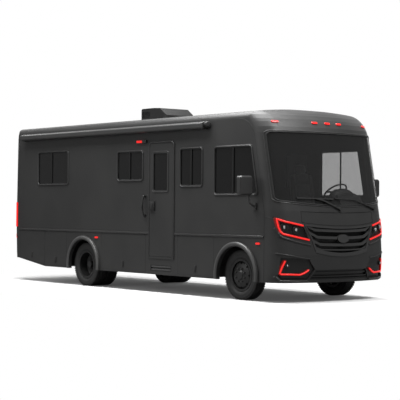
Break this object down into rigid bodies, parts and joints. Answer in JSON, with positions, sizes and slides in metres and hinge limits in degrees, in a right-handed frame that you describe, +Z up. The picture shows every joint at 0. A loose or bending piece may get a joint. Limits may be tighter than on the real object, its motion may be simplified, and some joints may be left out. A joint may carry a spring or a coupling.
{
  "type": "motorhome",
  "caption": "Charcoal motorhome on a front-engine truck chassis with entry door, opening storage bays, hood lid, box awning and steered front wheels.",
  "frame": {"origin": "on the ground under the middle of the whole vehicle", "axes": "+X towards the front, +Y to the driver side (left), +Z up"},
  "size_m": [8.7248, 3.32, 3.535],
  "materials": {
    "chassis_black": "satin black chassis paint",
    "spring_steel": "dark forged steel",
    "body_grey": "matte charcoal body paint",
    "roof_grey": "matte charcoal roof skin",
    "floor_ply": "sealed plywood sandwich",
    "black_plastic": "fine grained black plastic",
    "gloss_black": "gloss black plastic",
    "dark_glass": "tinted glass",
    "lamp_clear": "clear lamp cover",
    "lamp_red": "red lamp lens",
    "tyre": "black tyre rubber",
    "wheel_steel": "dark painted steel wheel",
    "bare_steel": "machined steel",
    "cover_fabric": "woven dark seat cloth",
    "radiator_metal": "dark finned aluminium"
  },
  "bodies": {
    "coach": {"chassis_frame": "chassis_black", "leaf_springs": "spring_steel", "front_axle": "spring_steel", "rear_axle": "spring_steel", "engine_block": "spring_steel", "drive_line": "spring_steel", "radiator": "radiator_metal", "fuel_tank": "chassis_black", "exhaust": "bare_steel", "hitch_receiver": "chassis_black", "floor": "floor_ply", "entry_steps": "black_plastic", "wall_right": "body_grey", "wall_left": "body_grey", "skirt_right": "body_grey", "skirt_left": "body_grey", "storage_bays_right": "black_plastic", "storage_bays_left": "black_plastic", "roof_panel": "roof_grey", "front_cap": "body_grey", "rear_cap": "body_grey", "windshield": "dark_glass", "window_frames": "black_plastic", "window_glass": "dark_glass", "grille": "gloss_black", "front_lamps": "gloss_black", "headlamp_lenses": "lamp_clear", "led_strips": "lamp_red", "marker_lamps": "lamp_red", "tail_lamps": "lamp_red", "mirrors": "black_plastic", "wipers": "black_plastic", "awning": "body_grey", "roof_air_conditioner": "roof_grey", "entry_door_frame": "body_grey", "grab_handle": "black_plastic", "dashboard": "black_plastic", "steering_wheel": "black_plastic", "cab_seats": "cover_fabric"},
    "entry_door": {"entry_door": "body_grey", "entry_door_glass": "dark_glass"},
    "hood_lid": {"hood_lid": "body_grey"},
    "knuckle_left": {"knuckle_left": "spring_steel"},
    "front_wheel_left": {"front_wheel_left": "wheel_steel", "front_tyre_left": "tyre"},
    "rear_wheels_left": {"rear_wheels_left": "wheel_steel", "rear_tyres_left": "tyre"},
    "bay_door_left_1": {"bay_door_left_1": "body_grey"},
    "bay_door_left_2": {"bay_door_left_2": "body_grey"},
    "bay_door_left_3": {"bay_door_left_3": "body_grey"},
    "bay_door_left_4": {"bay_door_left_4": "body_grey"},
    "knuckle_right": {"knuckle_right": "spring_steel"},
    "front_wheel_right": {"front_wheel_right": "wheel_steel", "front_tyre_right": "tyre"},
    "rear_wheels_right": {"rear_wheels_right": "wheel_steel", "rear_tyres_right": "tyre"},
    "bay_door_right_1": {"bay_door_right_1": "body_grey"},
    "bay_door_right_2": {"bay_door_right_2": "body_grey"},
    "bay_door_right_3": {"bay_door_right_3": "body_grey"},
    "bay_door_right_4": {"bay_door_right_4": "body_grey"}
  },
  "joints": [
    {"name": "steer_left", "type": "hinge", "parent": "coach", "child": "knuckle_left", "pos_m": [3.066, 0.94, 0.426], "axis": [0, 0, 1], "range_deg": [-35, 35]},
    {"name": "front_wheel_spin_left", "type": "hinge", "parent": "knuckle_left", "child": "front_wheel_left", "pos_m": [3.066, 1.0775, 0.426], "axis": [0, 1, 0], "continuous": true},
    {"name": "rear_wheels_spin_left", "type": "hinge", "parent": "coach", "child": "rear_wheels_left", "pos_m": [-1.652, 0.9765, 0.426], "axis": [0, 1, 0], "continuous": true},
    {"name": "bay_door_left_1_hinge", "type": "hinge", "parent": "coach", "child": "bay_door_left_1", "pos_m": [-3.618, 1.285, 1.065], "axis": [1, 0, 0], "range_deg": [0, 90]},
    {"name": "bay_door_left_2_hinge", "type": "hinge", "parent": "coach", "child": "bay_door_left_2", "pos_m": [-2.6875, 1.285, 1.065], "axis": [1, 0, 0], "range_deg": [0, 90]},
    {"name": "bay_door_left_3_hinge", "type": "hinge", "parent": "coach", "child": "bay_door_left_3", "pos_m": [-0.2955, 1.285, 1.065], "axis": [1, 0, 0], "range_deg": [0, 90]},
    {"name": "bay_door_left_4_hinge", "type": "hinge", "parent": "coach", "child": "bay_door_left_4", "pos_m": [1.933, 1.285, 1.065], "axis": [1, 0, 0], "range_deg": [0, 90]},
    {"name": "steer_right", "type": "hinge", "parent": "coach", "child": "knuckle_right", "pos_m": [3.066, -0.94, 0.426], "axis": [0, 0, 1], "range_deg": [-35, 35]},
    {"name": "front_wheel_spin_right", "type": "hinge", "parent": "knuckle_right", "child": "front_wheel_right", "pos_m": [3.066, -1.0775, 0.426], "axis": [0, 1, 0], "continuous": true},
    {"name": "rear_wheels_spin_right", "type": "hinge", "parent": "coach", "child": "rear_wheels_right", "pos_m": [-1.652, -0.9765, 0.426], "axis": [0, 1, 0], "continuous": true},
    {"name": "bay_door_right_1_hinge", "type": "hinge", "parent": "coach", "child": "bay_door_right_1", "pos_m": [-3.618, -1.285, 1.065], "axis": [-1, 0, 0], "range_deg": [0, 90]},
    {"name": "bay_door_right_2_hinge", "type": "hinge", "parent": "coach", "child": "bay_door_right_2", "pos_m": [-2.6875, -1.285, 1.065], "axis": [-1, 0, 0], "range_deg": [0, 90]},
    {"name": "bay_door_right_3_hinge", "type": "hinge", "parent": "coach", "child": "bay_door_right_3", "pos_m": [-0.2955, -1.285, 1.065], "axis": [-1, 0, 0], "range_deg": [0, 90]},
    {"name": "bay_door_right_4_hinge", "type": "hinge", "parent": "coach", "child": "bay_door_right_4", "pos_m": [1.933, -1.285, 1.065], "axis": [-1, 0, 0], "range_deg": [0, 90]},
    {"name": "entry_door_hinge", "type": "hinge", "parent": "coach", "child": "entry_door", "pos_m": [1.276, -1.297, 1.72], "axis": [0, 0, 1], "range_deg": [0, 95]},
    {"name": "hood_lid_hinge", "type": "hinge", "parent": "coach", "child": "hood_lid", "pos_m": [4.2913, 0, 1.503], "axis": [0, -1, 0], "range_deg": [0, 75]}
  ],
  "couplings": [
    {"joint": "steer_right", "follows": "steer_left", "ratio": 1}
  ]
}
